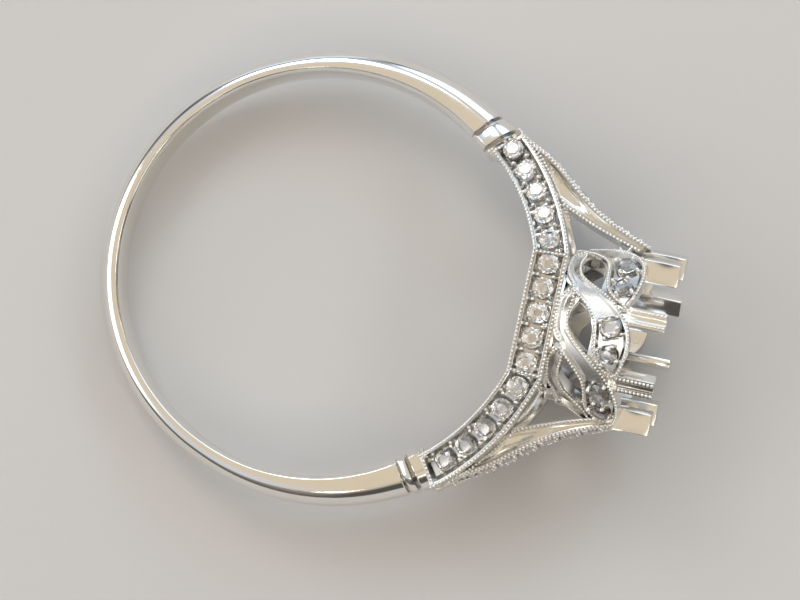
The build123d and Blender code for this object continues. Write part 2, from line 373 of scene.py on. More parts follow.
class Board:
    """The node tree of a material or of the room."""

    def __init__(self, name: str, owner: bpy.types.ID | None = None,
                 output: str = "ShaderNodeOutputMaterial") -> None:
        """Starts an empty tree with its output.

        Args:
            name: the name of a new material.
            owner: what the tree belongs to, or None for a new material.
            output: the type of its output node.
        """
        self.owner = owner or bpy.data.materials.new(name)
        self.owner.use_nodes = True
        self.tree = self.owner.node_tree
        self.tree.nodes.clear()
        self.output = self.tree.nodes.new(output)

    def node(self, kind: str, settings: dict, inputs: dict) -> bpy.types.Node:
        """Adds a node.

        Args:
            kind: the node's type.
            settings: its settings, with a ramp's stops under "stops".
            inputs: values or links for its sockets, by name or number.

        Returns:
            The node.
        """
        node = self.tree.nodes.new(kind)
        for key, value in settings.items():
            if key == "stops":
                ramp = node.color_ramp
                while len(ramp.elements) < len(value):
                    ramp.elements.new(0.5)
                for element, (position, colour) in zip(ramp.elements, value):
                    element.position = position
                    element.color = colour
            else:
                setattr(node, key, value)
        for key, value in inputs.items():
            socket = node.inputs[key]
            if isinstance(value, Link):
                self.tree.links.new(value.socket, socket)
            else:
                socket.default_value = value
        return node

    def add(self, kind: str, settings: dict, inputs: dict, output: int | str = 0) -> Link:
        """Adds a node and links to one of its outputs."""
        return Link(self, self.node(kind, settings, inputs).outputs[output])

    def blend(self, factor: "Link | float", first: object, second: object) -> Link:
        """Mixes two colours."""
        inputs = {0: factor, 6: first, 7: second}
        return self.add("ShaderNodeMix", {"data_type": "RGBA"}, inputs, 2)

    def shade(self, inputs: dict) -> bpy.types.Material:
        """Ends the material with a principled shader.

        Args:
            inputs: values or links for the shader's sockets.

        Returns:
            The finished material.
        """
        shader = self.add("ShaderNodeBsdfPrincipled", {}, inputs)
        self.tree.links.new(shader.socket, self.output.inputs["Surface"])
        return self.owner


@dataclass(frozen=True)
class WhiteGold:
    """Polished white gold with fine wear, and painted shade: a darker colour where the meshes mark hollows
    and the spaces between parts.
    """

    name: str
    light: tuple[float, float, float, float] = (0.93, 0.925, 0.91, 1.0)
    warm: tuple[float, float, float, float] = (0.88, 0.85, 0.79, 1.0)
    # The colour of the painted shade in hollows and between parts.
    dark: tuple[float, float, float, float] = (0.30, 0.29, 0.28, 1.0)
    roughness: float = 0.09
    wear: float = 0.10
    scratch: float = 0.25
    recess_roughness: float = 0.12

    def material(self) -> bpy.types.Material:
        """Builds the finish.

        Returns:
            The material.
        """
        board = Board(self.name)
        place = board.add("ShaderNodeTexCoord", {}, {}, "Object")
        cloudy = board.add("ShaderNodeTexNoise", {}, {"Vector": place, "Scale": 420.0, "Detail": 3.0})
        handled = board.add("ShaderNodeTexNoise", {}, {"Vector": place, "Scale": 1900.0, "Detail": 6.0})
        grain = board.add("ShaderNodeMapping", {}, {"Vector": place, "Rotation": (0.0, 0.0, 0.6),
                                                    "Scale": (3000.0, 42000.0, 9000.0)})
        lines = board.add("ShaderNodeTexNoise", {}, {"Vector": grain, "Scale": 1.0, "Detail": 2.0})
        recess = board.add("ShaderNodeAttribute", {"attribute_name": "recess"}, {}, "Fac")
        tone = board.blend(cloudy, self.light, self.warm)
        # Painted shade: hollows and the spaces between parts are darkened towards the dark colour.
        colour = board.blend(recess, tone, self.dark)
        rough = self.roughness + self.wear * (handled**2.0) + self.recess_roughness * recess
        bump = board.add("ShaderNodeBump", {}, {"Strength": self.scratch, "Distance": 2e-6,
                                                "Height": lines + handled * 0.6})
        return board.shade({"Base Color": colour, "Metallic": 1.0, "Roughness": rough, "Normal": bump})


@dataclass(frozen=True)
class CutStone:
    """A clear, strongly refracting cut stone."""

    name: str = "cut_stone"
    tint: tuple[float, float, float, float] = (0.985, 0.99, 1.0, 1.0)
    bend: float = 2.3

    def material(self) -> bpy.types.Material:
        """Builds the finish.

        Returns:
            The material.
        """
        board = Board(self.name)
        place = board.add("ShaderNodeTexCoord", {}, {}, "Object")
        haze = board.add("ShaderNodeTexNoise", {}, {"Vector": place, "Scale": 2600.0, "Detail": 4.0})
        return board.shade({
            "Base Color": self.tint,
            "Roughness": 0.02 * (haze**3.0),
            "IOR": self.bend,
            "Transmission Weight": 1.0,
        })


@dataclass(frozen=True)
class PaleFloor:
    """A plain pale floor with a faint tooth."""

    name: str = "pale_floor"
    colour: tuple[float, float, float, float] = (0.62, 0.605, 0.595, 1.0)

    def material(self) -> bpy.types.Material:
        """Builds the finish.

        Returns:
            The material.
        """
        board = Board(self.name)
        place = board.add("ShaderNodeTexCoord", {}, {}, "Object")
        tooth = board.add("ShaderNodeTexNoise", {}, {"Vector": place, "Scale": 900.0, "Detail": 5.0})
        bump = board.add("ShaderNodeBump", {}, {"Strength": 0.2, "Distance": 2e-5, "Height": tooth})
        return board.shade({"Base Color": self.colour, "Roughness": 0.85, "Normal": bump})


# Beading


@dataclass(frozen=True)
class Grip:
    """The shape of a bead that holds a stone: its radius, its height as a share, and its depth."""

    radius: float
    height: float
    sink: float


class Beading:
    """Rows of tiny beads along edges, and the grips that hold the stones."""

    tray_size = 1500
    unevenness = 0.07

    def __init__(self) -> None:
        """Starts with one empty tray."""
        self.tray = bmesh.new()
        self.filled: list[bpy.types.Mesh] = []

    def bead(self, spot: Vector, outward: Vector, radius: float, height: float = 1.0) -> None:
        """Adds one bead.

        Args:
            spot: its centre.
            outward: the direction of its pole.
            radius: its radius.
            height: its height as a share of its width.
        """
        turn = outward.to_track_quat("Z", "Y").to_matrix().to_4x4()
        matrix = Matrix.Translation(spot) @ turn @ Matrix.Diagonal((1.0, 1.0, height, 1.0))
        bmesh.ops.create_uvsphere(self.tray, u_segments=8, v_segments=5, radius=radius, matrix=matrix)
        if len(self.tray.verts) > self.tray_size:
            self._set_aside()

    def _set_aside(self) -> None:
        """Sets the full tray aside and starts another, because small trays are quicker to fill."""
        mesh = bpy.data.meshes.new("tray")
        self.tray.to_mesh(mesh)
        self.tray.free()
        self.filled.append(mesh)
        self.tray = bmesh.new()

    def gathered(self) -> bmesh.types.BMesh:
        """Empties the trays.

        Returns:
            All beads in one mesh.
        """
        for mesh in self.filled:
            self.tray.from_mesh(mesh)
            bpy.data.meshes.remove(mesh)
        return self.tray

    def row(self, dense: Sequence[Vector], outward: Callable[[Vector], Vector], radius: float,
            pitch: float) -> None:
        """Adds a row of beads that differ a little in size.

        Args:
            dense: a dense row of points along the beads' middles.
            outward: the direction of a bead's pole, from its middle.
            radius: the beads' radius.
            pitch: the distance between beads.
        """
        for i, spot in enumerate(evenly(dense, pitch)):
            size = radius * (1.0 + self.unevenness * math.sin(2.9 * i + 1.7 * spot.x))
            self.bead(spot, outward(spot), size)

    def hold(self, spot: Vector, outward: Vector, grip: Grip) -> None:
        """Adds a grip whose middle is sunk into the metal."""
        self.bead(spot - outward * grip.sink, outward, grip.radius, grip.height)


# Stones


@dataclass
class Seat:
    """Where a stone sits: the centre and normal of its girdle, and its radius."""

    centre: Vector
    outward: Vector
    radius: float


class StoneField:
    """The small cut stones of one node, set where their solids are."""

    solid_table_share = 0.58
    table_share = 0.56
    star_share = 0.79
    star_height = 0.58
    crown_share = 0.3
    girdle_share = 0.06
    knee_share = 0.3
    knee_depth = 0.6
    pavilion_share = 0.8
    culet_share = 0.05
    lean = 5.0
    fit_share = 0.995

    def __init__(self, bench: Workbench, node: str, rise: float = 0.0) -> None:
        """Reads the seats from the node's solids.

        Args:
            bench: the workbench, for the resting pose.
            node: the CAD node's name.
            rise: how far the stones stand above their solids.
        """
        self.bench = bench
        self.node = node
        self.rise = rise
        self.seats = self._read_seats(frame["nodes"][node])

    def _read_seats(self, source: bpy.types.Object) -> list[Seat]:
        """Finds each loose stone's table, and from it the girdle.

        Args:
            source: the node's solids.

        Returns:
            The seats, from the lower shoulder to the upper.
        """
        bm = bmesh.new()
        bm.from_mesh(source.data)
        bmesh.ops.remove_doubles(bm, verts=bm.verts, dist=1e-7)
        bmesh.ops.dissolve_limit(bm, angle_limit=0.02, verts=bm.verts, edges=bm.edges)
        seats = []
        pending = set(bm.faces)
        while pending:
            stack = [pending.pop()]
            stone = list(stack)
            while stack:
                for edge in stack.pop().edges:
                    for face in edge.link_faces:
                        if face in pending:
                            pending.discard(face)
                            stack.append(face)
                            stone.append(face)
            table = max(stone, key=lambda face: face.calc_area())
            middle = self.bench.flat(table.calc_center_median())
            corner = self.bench.flat(table.verts[0].co)
            radius = (corner - middle).length / self.solid_table_share
            outward = (self.bench.place.inverted().to_3x3() @ table.normal).normalized()
            height = (self.crown_share + self.girdle_share) * radius - self.rise
            seats.append(Seat(middle - outward * height, outward, radius))
        bm.free()
        return sorted(seats, key=lambda seat: (seat.centre.y, seat.centre.x))

    def _pattern(self) -> bpy.types.Mesh:
        """Cuts one stone of radius 1 with its girdle at the origin, as the hull of its corners.

        Returns:
            The stone's mesh.
        """
        bm = bmesh.new()
        half_turn = Matrix.Rotation(math.radians(22.5), 4, "Z")
        girdle = self.girdle_share
        crown = self.crown_share
        levels = (
            (8, self.table_share, girdle + crown, half_turn),
            (8, self.star_share, girdle + crown * self.star_height, Matrix.Identity(4)),
            (16, 1.0, girdle, Matrix.Identity(4)),
            (16, 1.0, 0.0, Matrix.Identity(4)),
            (8, self.knee_share, -self.knee_depth, half_turn),
            (8, self.culet_share, -self.pavilion_share, half_turn),
        )
        for count, radius, height, turn in levels:
            matrix = Matrix.Translation((0, 0, height)) @ turn
            bmesh.ops.create_circle(bm, cap_ends=False, segments=count, radius=radius, matrix=matrix)
        bmesh.ops.convex_hull(bm, input=bm.verts[:])
        bmesh.ops.dissolve_limit(bm, angle_limit=0.01, verts=bm.verts[:], edges=bm.edges[:])
        mesh = bpy.data.meshes.new("stone_pattern")
        bm.to_mesh(mesh)
        bm.free()
        return mesh

    def build(self, material: bpy.types.Material) -> bpy.types.Object:
        """Sets a cut stone in each seat, in place of the plain solids.

        Args:
            material: the stones' finish.

        Returns:
            The stones, as one piece.
        """
        bm = bmesh.new()
        pattern = self._pattern()
        for i, seat in enumerate(self.seats):
            start = len(bm.verts)
            bm.from_mesh(pattern)
            bm.verts.ensure_lookup_table()
            turn = seat.outward.to_track_quat("Z", "Y").to_matrix().to_4x4()
            lean = math.radians(self.lean * math.sin(5.1 * i + 0.8))
            tilt = Matrix.Rotation(2.3 * i, 4, "Z") @ Matrix.Rotation(lean, 4, "X")
            spin = tilt @ Matrix.Rotation(0.7 * i, 4, "Z")
            size = Matrix.Scale(seat.radius * self.fit_share, 4)
            matrix = Matrix.Translation(seat.centre) @ turn @ spin @ size
            bmesh.ops.transform(bm, matrix=matrix, verts=bm.verts[start:])
        bpy.data.meshes.remove(pattern)
        piece = self.bench.finish(bm, self.node + "_cut", material, "stone", crease=0.0, merge=False)
        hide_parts(self.node)
        return piece


# Hoop


@dataclass
class Hoop:
    """The hoop with its bevelled bore, and the grooved collars at its two ends."""

    finger_radius: float = 8.35
    bore_half_length: float = 0.85
    bevel_slope: float = 0.7
    thicknesses: tuple[float, float] = (0.85, 1.45)
    half_widths: tuple[float, float] = (1.0, 1.1)
    flat_shares: tuple[float, float] = (0.34, 0.5)
    taper_angle: float = 112.0
    taper_power: float = 1.2
    end_angle: float = 54.3
    groove_depth: float = 0.14
    flare: float = 0.27
    flare_angles: tuple[float, float] = (58.0, 47.5)
    flare_power: float = 1.5
    groove_lean: float = 3.0
    groove_painted_shade: float = 0.8
    start: tuple[float, float] = (47.3, 0.02)
    bar_shift: float = 2.0
    bar: tuple[tuple[float, float], ...] = (
        (49.1, 0.0), (49.3, 0.03), (49.36, 0.2), (50.2, 0.2), (50.26, 0.07), (50.5, 0.0),
    )
    collar_shift: float = 0.8
    collar: tuple[tuple[float, float], ...] = (
        (52.7, 0.0), (53.75, 0.112), (53.8, 0.14), (54.15, 0.14), (54.2, 0.03), (54.4, 0.0),
    )
    dome_points: int = 17
    steps: int = 96

    def growth(self, angle: float) -> float:
        """Finds how far the section has grown from the back's to the shoulder's.

        Args:
            angle: the angle round the ring, in degrees.

        Returns:
            The share, 0 at the back and 1 at the shoulders.
        """
        away = min(abs(angle), 360.0 - abs(angle))
        return ramp(away, self.taper_angle, self.end_angle - self.taper_angle) ** self.taper_power

    def section(self, angle: float, inset: float) -> list[Vector]:
        """Points of the hoop's section.

        Args:
            angle: the angle round the ring, in degrees.
            inset: how far the sides and the outside are moved in.

        Returns:
            The section's points in order.
        """
        growth = self.growth(angle)
        away = min(abs(angle), 360.0 - abs(angle))
        wide, end = self.flare_angles
        flare = self.flare * ramp(away, wide, end - wide) ** self.flare_power
        thick = mix(self.thicknesses, growth) + flare - inset
        half = mix(self.half_widths, growth) - inset
        side = thick * mix(self.flat_shares, growth)
        bore = min(self.bore_half_length, half - 0.04)
        bevel = (half - bore) * self.bevel_slope
        dome = []
        for i in range(1, self.dome_points - 1):
            turn = math.pi * i / (self.dome_points - 1)
            dome.append((side + (thick - side) * math.sin(turn), half * math.cos(turn), 0.0))
        corners = [(0.0, -bore, 0.05), (0.0, bore, 0.05), (bevel, half, 0.03), (side, half, 0.0)]
        corners += dome + [(side, -half, 0.0), (bevel, -half, 0.03)]
        return [self._place(point, angle, growth) for point in eased(corners, 3)]

    def _place(self, point: Vector, angle: float, growth: float) -> Vector:
        """Puts a section point on the ring, leaning with the grooves near the shoulders.

        Args:
            point: the point's height over the bore and its place along the finger.
            angle: the section's angle, in degrees.
            growth: how far the section has grown towards the shoulder's.

        Returns:
            The point on the flat ring.
        """
        radius = self.finger_radius + point.x
        lean = math.degrees(math.tan(math.radians(self.groove_lean)) * point.x / radius) * growth**3
        return on_circle(radius, angle - lean, point.y)

    def stops(self, shoulder: Shoulder) -> list[tuple[float, float]]:
        """Lists the bar, the wide groove, the collar, the narrow groove and the hoop's end.

        Args:
            shoulder: the shoulder, because the two are not quite alike.

        Returns:
            An angle and an inset for each station, away from the head.
        """
        collar, bar = self.collar_shift * shoulder.value, self.bar_shift * shoulder.value
        rows = [(self.start[0] - collar, self.start[1])]
        rows += [(angle - bar, inset) for angle, inset in self.bar]
        rows += [(angle - collar, inset) for angle, inset in self.collar]
        return rows

    def build(self, bench: Workbench, material: bpy.types.Material) -> bpy.types.Object:
        """Sweeps the hoop and its collars in one piece.

        Args:
            bench: the workbench.
            material: the hoop's finish.

        Returns:
            The hoop.
        """
        upper, lower = self.stops(Shoulder.UPPER), self.stops(Shoulder.LOWER)
        reach = (upper[-1][0], 360.0 - lower[-1][0])
        rows = upper[:-1] + [(mix(reach, share), 0.0) for share in shares(self.steps + 1)]
        rows += [(360.0 - angle, inset) for angle, inset in reversed(lower[:-1])]
        stations = [self.section(angle, inset) for angle, inset in rows]
        # Painted shade: the stations in the grooves are darkened.
        groove_shade = [self.groove_painted_shade if inset >= self.groove_depth else 0.0 for _, inset in rows]
        bm = bmesh.new()
        sweep(bm, stations, recess=[[value] * len(stations[0]) for value in groove_shade])
        return bench.finish(bm, "hoop", material, "white_gold", crease=38.0)


# Shoulders


@dataclass
class SideStrips:
    """Channelled strips for a row of stones: down each shoulder and straight under the collet."""

    start_angle: float = 47.5
    start_shift: float = 0.8
    end_angle: float = 16.0
    start_skew: float = 1.4
    end_skew: float = 1.7
    foot_row: tuple[float, float] = (0.12, 0.66)
    foot_gap: float = 0.07
    foot_height: float = 1.09
    inner_radii: tuple[float, float] = (8.62, 9.04)
    outer_radii: tuple[float, float] = (10.08, 10.46)
    heights: tuple[float, float] = (1.16, 2.95)
    thickness: float = 0.75
    rail: float = 0.17
    slope: float = 0.2
    depth: float = 0.26
    bead_radius: float = 0.071
    bead_pitch: float = 0.163
    bead_inset: float = 0.34
    rail_painted_shade: float = 0.5
    channel_painted_shade: float = 0.38
    start_painted_shade: float = 0.85
    start_shade_reach: float = 0.12
    start_falls: tuple[tuple[float, float], ...] = ((0.0, 0.0), (0.028, 0.0), (0.06, 1.0))
    base_falls: tuple[tuple[float, float], ...] = ((0.004, 0.0), (0.032, 0.0), (0.06, 1.0))
    end_rows: tuple[float, float] = (0.02, 0.018)
    grip_reach: float = 0.31
    grip_between: Grip = Grip(0.115, 1.8, 0.1)
    end_grip_place: tuple[float, float] = (0.42, 0.3)
    grip_beyond: Grip = Grip(0.1, 2.0, 0.11)
    steps: int = 28

    def edges(self, share: float, shoulder: Shoulder = Shoulder.UPPER) -> tuple[Vector, Vector]:
        """Finds the edges of a shoulder strip's face.

        Args:
            share: how far along the strip, from collar to head.
            shoulder: the shoulder, because the two are not quite alike.

        Returns:
            The inner and the outer edge's point.
        """
        start = self.start_angle - self.start_shift * shoulder.value
        angle = mix((start, self.end_angle), share)
        height = mix(self.heights, share)
        inner = on_circle(mix(self.inner_radii, share), angle, height)
        skew = mix((self.start_skew * shoulder.value, self.end_skew), share)
        outer = on_circle(mix(self.outer_radii, share), angle - skew, height)
        return inner, outer

    def base_edges(self, share: float) -> tuple[Vector, Vector]:
        """Finds the edges of the straight strip's face.

        Args:
            share: how far along the strip, from one shoulder to the other.

        Returns:
            The inner and the outer edge's point.
        """
        inner, outer = self.edges(1.0)
        flip = 1.0 - 2.0 * share
        return Vector((inner.x, inner.y * flip, inner.z)), Vector((outer.x, outer.y * flip, outer.z))

    def section(self, inner: Vector, outer: Vector, floor: float) -> list[Vector]:
        """Points of the strip's section.

        Args:
            inner: the face's inner edge.
            outer: the face's outer edge.
            floor: how deep the channel is here, as a share of its full depth.

        Returns:
            The section's points in order.
        """
        across = (outer - inner).normalized()
        width = (outer - inner).length
        deep = -self.depth * floor - 0.004
        lip, foot = self.rail, self.rail + self.slope
        corners = [
            (0.0, -self.thickness, 0.03), (0.0, 0.0, 0.03), (lip, 0.0, 0.015), (foot, deep, 0.02),
            (width - foot, deep, 0.02), (width - lip, 0.0, 0.015), (width, 0.0, 0.03),
            (width, -self.thickness, 0.03),
        ]
        return [inner + across * p.x + Vector((0.0, 0.0, p.y)) for p in eased(corners)]

    def recess(self, share: float) -> list[float]:
        """Painted shade over the section: between the rails' beads and in the channel's floor.

        Args:
            share: how far along the strip the section is.

        Returns:
            One value a point, with the darkest painted shade in the corners at the strip's start.
        """
        # Painted shade: the channel floor is darkest near the collar, and the rail tops where the beads
        # stand are darkened.
        floor = self.start_painted_shade if share < self.start_shade_reach else self.channel_painted_shade
        heights = [p.z for p in self.section(Vector((0.0, 0.0, 0.0)), Vector((1.4, 0.0, 0.0)), 1.0)]
        return [self.rail_painted_shade if h > -0.02 else floor if -0.3 < h < -0.2 else 0.05 for h in heights]

    def build(self, bench: Workbench, material: bpy.types.Material) -> list[bpy.types.Object]:
        """Sweeps the strips of both sides.

        Args:
            bench: the workbench.
            material: the strips' finish.

        Returns:
            One piece a side.
        """
        pieces = []
        full = (self.start_falls[-1][0], 1.0)
        slope = [*self.start_falls, *((mix(full, s), 1.0) for s in shares(self.steps)[1:])]
        straight = [*self.base_falls, *((s, 1.0) for s in (0.25, 0.5, 0.75))]
        straight += [(1 - s, floor) for s, floor in reversed(self.base_falls)]
        for side in Side:
            bm = bmesh.new()
            for shoulder in Shoulder:
                stations = []
                for s, floor in slope:
                    section = self.section(*self.edges(s, shoulder), floor)
                    stations.append(mirrored(section, side, shoulder))
                sweep(bm, stations, recess=[self.recess(s) for s, _ in slope])
            stations = []
            for s, floor in straight:
                stations.append(mirrored(self.section(*self.base_edges(s), floor), side, Shoulder.UPPER))
            sweep(bm, stations, recess=[self.recess(0.5)] * len(stations))
            pieces.append(bench.finish(bm, side.name.lower() + "_strips", material, "white_gold"))
        return pieces

    def _bead_rows(self, shoulder: Shoulder) -> list[list[Vector]]:
        """Lists a front shoulder's rows of beads, upright as on the upper shoulder.

        Args:
            shoulder: the shoulder, because the two are not quite alike.

        Returns:
            Dense rows along both edges, across the ends and along the strip's foot.
        """
        rows = [[self._on_rail(self.edges(s, shoulder), edge) for s in shares(60)] for edge in (0, 1)]
        for edges in (self.edges(self.end_rows[0], shoulder), self.base_edges(self.end_rows[1])):
            lip = (edges[1] - edges[0]).normalized() * self.rail
            rows.append([edges[0] + lip, edges[1] - lip])
        foot = []
        for s in shares(50):
            edge = self.edges(mix(self.foot_row, s), shoulder)[1]
            reach = Vector((edge.x, edge.y)).normalized() * self.foot_gap
            foot.append(Vector((edge.x + reach.x, edge.y + reach.y, self.foot_height)))
        return [*rows, foot]

    def bead(self, beading: Beading) -> None:
        """Beads both edges of every strip, the strips' ends and their feet.

        Args:
            beading: what receives the beads.
        """
        base = [[self._on_rail(self.base_edges(s), edge) for s in shares(20)] for edge in (0, 1)]
        for side in Side:
            up = Vector((0.0, 0.0, side.value))
            rows = []
            for shoulder in Shoulder:
                rows += [mirrored(row, side, shoulder) for row in self._bead_rows(shoulder)]
            rows += [mirrored(row, side, Shoulder.UPPER) for row in base]
            for row in rows:
                beading.row(row, lambda _: up, self.bead_radius, self.bead_pitch)

    def _on_rail(self, edges: tuple[Vector, Vector], edge: int) -> Vector:
        """A point on one rail's top, near its outer edge, where the beads stand."""
        inward = (edges[1 - edge] - edges[edge]).normalized()
        return edges[edge] + inward * self.rail * self.bead_inset

    def grip(self, beading: Beading, field: StoneField) -> None:
        """Raises bead grips between neighbouring stones of a row, and beyond its ends.

        Args:
            beading: what receives the grips.
            field: the row's stones.
        """
        stones = sorted(field.seats, key=lambda seat: seat.centre.y)
        for a, b in zip(stones, stones[1:]):
            gap = b.centre - a.centre
            outward = (a.outward + b.outward).normalized()
            across = gap.cross(outward).normalized()
            middle = (a.centre + b.centre) / 2
            for reach in (-self.grip_reach, self.grip_reach):
                beading.hold(middle + across * reach, outward, self.grip_between)
        ahead, aside = self.end_grip_place
        for stone, neighbour in ((stones[0], stones[1]), (stones[-1], stones[-2])):
            along = (stone.centre - neighbour.centre).normalized()
            across = along.cross(stone.outward).normalized()
            for reach in (-aside, aside):
                beading.hold(stone.centre + along * ahead + across * reach, stone.outward, self.grip_beyond)


@dataclass
class SplitArms:
    """The two arms that leave the shoulders and reach the collet, with grooved flanks."""

    half_width: float = 1.08
    rail: float = 0.17
    flank_depth: float = 0.2
    bed_depth: float = 0.17
    bead_radius: float = 0.075
    bead_pitch: float = 0.165
    steps: int = 48
    start_radius: float = 10.05
    start_angle: float = 47.7
    start_shift: float = 0.8
    end_direction: tuple[float, float] = (0.93, -0.37)
    plain_ends: int = 3
    plain_depth: float = 0.02
    bead_inset: float = 0.38
    flank_painted_shade: float = 0.5
    bed_painted_shade: float = 0.35
    row_starts: tuple[float, float] = (0.1, 0.5)
    edge_facing: tuple[float, float] = (0.5, 0.87)
    start_facing: tuple[float, float] = (0.67, 0.74)
    grip_reaches: tuple[float, float] = (0.31, 0.27)
    stone_grip: Grip = Grip(0.115, 1.7, 0.02)
    top_points: tuple[tuple[float, float], ...] = ((8.12, 6.62), (10.6, 4.78), (13.05, 3.68))
    under_points: tuple[tuple[float, float], ...] = (
        (6.1, 6.5), (7.5, 5.67), (9.12, 4.72), (10.85, 3.98), (12.6, 3.42),
    )

    def __post_init__(self) -> None:
        """Fits the arms' outward and under edges."""
        self.under = Path(self.under_points)
        self.spots: dict[Shoulder, list[Vector]] = {}
        for shoulder in Shoulder:
            angle = math.radians(self.start_angle - self.start_shift * shoulder.value)
            first = (self.start_radius * math.cos(angle), self.start_radius * math.sin(angle))
            top = Path((first, *self.top_points), (math.sin(angle), -math.cos(angle)), self.end_direction)
            dense = [top.at(s) for s in shares(200)]
            self.spots[shoulder] = evenly(dense, (dense[-1] - dense[0]).length / self.steps)

    def section(self, top: Vector, under: Vector, bed_depth: float) -> list[Vector]:
        """Points of the arm's section.

        Args:
            top: its outward edge.
            under: its under edge.
            bed_depth: how deep the stones' bed lies here.

        Returns:
            The section's points in order.
        """
        inward = (under - top).normalized()
        depth = (under - top).length
        half, rail = self.half_width, self.rail
        neck = half - self.flank_depth
        hollow = min(rail + 0.09, depth * 0.4)
        side = [
            (0.0, half - rail, 0.02), (0.0, half, 0.03), (rail, half, 0.03),
            (hollow, neck + 0.03, 0.03), (depth * 0.5, neck - 0.02, 0.0),
            (depth - hollow, neck + 0.03, 0.03), (depth - rail, half, 0.03), (depth, half, 0.03),
        ]
        edge = half - rail - 0.08
        bed = [(bed_depth, -edge, 0.03), (bed_depth * 0.9, -0.45, 0.0), (bed_depth * 0.6, 0.0, 0.1),
               (bed_depth * 0.9, 0.45, 0.0), (bed_depth, edge, 0.03)]
        corners = bed + side + [(a, -b, ease) for a, b, ease in reversed(side)]
        points = []
        for p in eased(corners):
            flat = top + inward * p.x
            points.append(Vector((flat.x, flat.y, p.y)))
        return points

    def build(self, bench: Workbench, material: bpy.types.Material) -> bpy.types.Object:
        """Sweeps both arms.

        Args:
            bench: the workbench.
            material: the arms' finish.

        Returns:
            Both arms, as one piece.
        """
        bm = bmesh.new()
        # Painted shade: the grooved flanks and the stones' bed are darkened.
        recess = []
        for p in self.section(Vector((0.0, 0.0)), Vector((1.0, 0.0)), self.bed_depth):
            in_bed = 0.05 < p.x < self.bed_depth + 0.01
            on_flank = abs(p.z) > self.half_width - 0.02
            recess.append(self.flank_painted_shade if on_flank else self.bed_painted_shade if in_bed else 0.05)
        for shoulder, spots in self.spots.items():
            stations = []
            for i, top in enumerate(spots):
                open_bed = self.plain_ends <= i < len(spots) - self.plain_ends
                depth = self.bed_depth if open_bed else self.plain_depth
                section = self.section(top, self.under.at(i / (len(spots) - 1)), depth)
                stations.append(mirrored(section, Side.FRONT, shoulder))
            sweep(bm, stations, recess=[recess] * len(stations))
        return bench.finish(bm, "arms", material, "white_gold")

    def bead(self, beading: Beading) -> None:
        """Beads the edges of each flank and of the outward face, and the outward face's start.

        Args:
            beading: what receives the beads.
        """
        size = (self.bead_radius, self.bead_pitch)
        for side in Side:
            up = Vector((0.0, 0.0, side.value))
            for shoulder, spots in self.spots.items():
                count = len(spots)
                rows = [[], []]
                for i, top in enumerate(spots):
                    under = self.under.at(i / (count - 1))
                    inward = (under - top).normalized() * self.rail * self.bead_inset
                    for row, start, spot in zip(rows, self.row_starts, (top + inward, under - inward)):
                        if i > count * start:
                            row.append(Vector((*spot, self.half_width)))
                for row in rows:
                    beading.row(mirrored(row, side, shoulder), lambda _: up, *size)
                edge = [Vector((p.x, p.y, self.half_width - self.rail * 0.5)) for p in spots]
                away = Vector((self.edge_facing[0], self.edge_facing[1] * shoulder.value, 0.0))
                beading.row(mirrored(edge, side, shoulder), lambda _: away, *size)
        for shoulder, spots in self.spots.items():
            reach = self.half_width - self.rail
            start = spots[0].lerp(spots[1], 0.5)
            across = [Vector((start.x, start.y, z)) for z in (-reach, reach)]
            away = Vector((self.start_facing[0], self.start_facing[1] * shoulder.value, 0.0))
            beading.row(mirrored(across, Side.FRONT, shoulder), lambda _: away, *size)

    def grip(self, beading: Beading, field: StoneField) -> None:
        """Raises bead grips round the stones of an arm's two rows.

        Args:
            beading: what receives the grips.
            field: the arm's stones.
        """
        a, b = self.grip_reaches
        across = Vector((0.0, 0.0, 1.0))
        for seat in field.seats:
            along = Vector((-seat.outward.y, seat.outward.x, 0.0)).normalized()
            for ahead, aside in ((a, b), (-a, b), (a, -b), (-a, -b)):
                beading.hold(seat.centre + along * ahead + across * aside, seat.outward, self.stone_grip)


@dataclass
class ShoulderCore:
    """The solid body of each shoulder between the strips, from the collar to the split."""

    half_width: float = 0.92
    bevel: float = 0.14
    bore_radii: tuple[float, float] = (8.37, 8.58)
    bore_angles: tuple[float, float] = (47.3, 42.5)
    end_radius: float = 8.72
    rise_power: float = 0.7
    outline: tuple[tuple[float, float], ...] = (
        (7.75, 4.63), (9.2, 4.75), (8.9, 5.6), (7.9, 6.4), (6.72, 7.1),
    )

    def level(self, height: float, radius: float) -> list[Vector]:
        """Draws the body's outline at one height.

        Args:
            height: the height along the finger axis.
            radius: the bore's radius there.

        Returns:
            The outline's points in order.
        """
        bore = []
        for share in shares(8):
            rise = mix((radius, self.end_radius), share**self.rise_power)
            bore.append(on_circle(rise, mix(self.bore_angles, share), height))
        return bore + [Vector((x, y, height)) for x, y in self.outline]

    def build(self, bench: Workbench, material: bpy.types.Material) -> bpy.types.Object:
        """Extrudes the two bodies, bevelled along the bore.

        Args:
            bench: the workbench.
            material: the bodies' finish.

        Returns:
            Both bodies, as one piece.
        """
        bm = bmesh.new()
        near, far = self.bore_radii
        neck = self.half_width - self.bevel
        levels = ((-self.half_width, far), (-neck, near), (neck, near), (self.half_width, far))
        for shoulder in Shoulder:
            sweep(bm, [mirrored(self.level(*level), Side.FRONT, shoulder) for level in levels])
        return bench.finish(bm, "shoulder_cores", material, "white_gold")


# Collet


